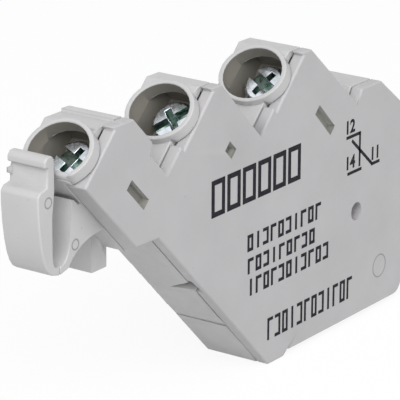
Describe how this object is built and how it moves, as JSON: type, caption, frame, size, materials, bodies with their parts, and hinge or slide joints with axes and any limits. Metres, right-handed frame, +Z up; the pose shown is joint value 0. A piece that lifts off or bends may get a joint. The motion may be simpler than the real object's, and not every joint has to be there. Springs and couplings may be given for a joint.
{
  "type": "auxiliary contact block",
  "caption": "Slim clip-on auxiliary contact block with stepped screw terminals along its top, a spring clip at one end and a snap switch inside.",
  "frame": {"origin": "middle of the flat lower edge, halfway through the thickness", "axes": "+X along the block away from the clip, +Y from the front cover to the back, +Z up"},
  "size_m": [0.0725, 0.0094, 0.0391],
  "materials": {
    "base_plastic": "satin light grey moulding",
    "cover_plastic": "satin light grey moulding",
    "switch_plastic": "dark moulding",
    "lever_plastic": "beige moulding",
    "zinc_plate": "zinc plated steel",
    "tinned_copper": "tinned copper alloy",
    "silver": "silver contact"
  },
  "bodies": {
    "housing": {"base_housing": "base_plastic", "front_cover": "cover_plastic", "conductor_strip_1": "tinned_copper", "conductor_strip_2": "tinned_copper", "conductor_strip_3": "tinned_copper", "switch_case": "switch_plastic", "switch_lid": "switch_plastic", "common_terminal": "tinned_copper", "open_terminal": "tinned_copper", "closed_terminal": "tinned_copper", "open_contact": "silver", "closed_contact": "silver", "lever_pin": "zinc_plate"},
    "latch": {"latch_arm": "base_plastic"},
    "lever": {"actuator_lever": "lever_plastic"},
    "plunger": {"switch_plunger": "lever_plastic"},
    "leaf": {"contact_leaf": "tinned_copper", "moving_contact": "silver"},
    "screw_1": {"terminal_screw_1": "zinc_plate"},
    "cage_1": {"wire_cage_1": "zinc_plate"},
    "screw_2": {"terminal_screw_2": "zinc_plate"},
    "cage_2": {"wire_cage_2": "zinc_plate"},
    "screw_3": {"terminal_screw_3": "zinc_plate"},
    "cage_3": {"wire_cage_3": "zinc_plate"}
  },
  "joints": [
    {"name": "latch_bend", "type": "hinge", "parent": "housing", "child": "latch", "pos_m": [-0.05454, 0, 0.02194], "axis": [0, 1, 0], "range_deg": [0, 2.4], "stiffness_Nm_per_rad": 0.05},
    {"name": "screw_1_turn", "type": "hinge", "parent": "housing", "child": "screw_1", "pos_m": [-0.0499, 0, 0.03359], "axis": [0.7071, 0, -0.7071], "range_deg": [0, 1370]},
    {"name": "cage_1_rise", "type": "slide", "parent": "housing", "child": "cage_1", "axis": [-0.7071, 0, 0.7071], "range_m": [0, 0.0019]},
    {"name": "screw_2_turn", "type": "hinge", "parent": "housing", "child": "screw_2", "pos_m": [-0.03074, 0, 0.03359], "axis": [0.7071, 0, -0.7071], "range_deg": [0, 1370]},
    {"name": "cage_2_rise", "type": "slide", "parent": "housing", "child": "cage_2", "axis": [-0.7071, 0, 0.7071], "range_m": [0, 0.0019]},
    {"name": "screw_3_turn", "type": "hinge", "parent": "housing", "child": "screw_3", "pos_m": [-0.01157, 0, 0.03359], "axis": [0.7071, 0, -0.7071], "range_deg": [0, 1370]},
    {"name": "cage_3_rise", "type": "slide", "parent": "housing", "child": "cage_3", "axis": [-0.7071, 0, 0.7071], "range_m": [0, 0.0019]},
    {"name": "lever_turn", "type": "hinge", "parent": "housing", "child": "lever", "pos_m": [-0.02091, 0, 0.00806], "axis": [0, 1, 0], "range_deg": [0, 4.25]},
    {"name": "plunger_slide", "type": "slide", "parent": "housing", "child": "plunger", "axis": [0.7071, 0, 0.7071], "range_m": [0, 0.0004], "stiffness_N_per_m": 800},
    {"name": "leaf_bend", "type": "hinge", "parent": "housing", "child": "leaf", "pos_m": [-0.02397, 0.0002, 0.0183], "axis": [0, -1, 0], "range_deg": [0, 5.25]}
  ],
  "couplings": [
    {"joint": "screw_1_turn", "follows": "cage_1_rise", "rad_per_m": 12566},
    {"joint": "screw_2_turn", "follows": "cage_2_rise", "rad_per_m": 12566},
    {"joint": "screw_3_turn", "follows": "cage_3_rise", "rad_per_m": 12566},
    {"joint": "lever_turn", "follows": "plunger_slide", "rad_per_m": 183.26},
    {"joint": "leaf_bend", "follows": "plunger_slide", "rad_per_m": 226.89}
  ]
}
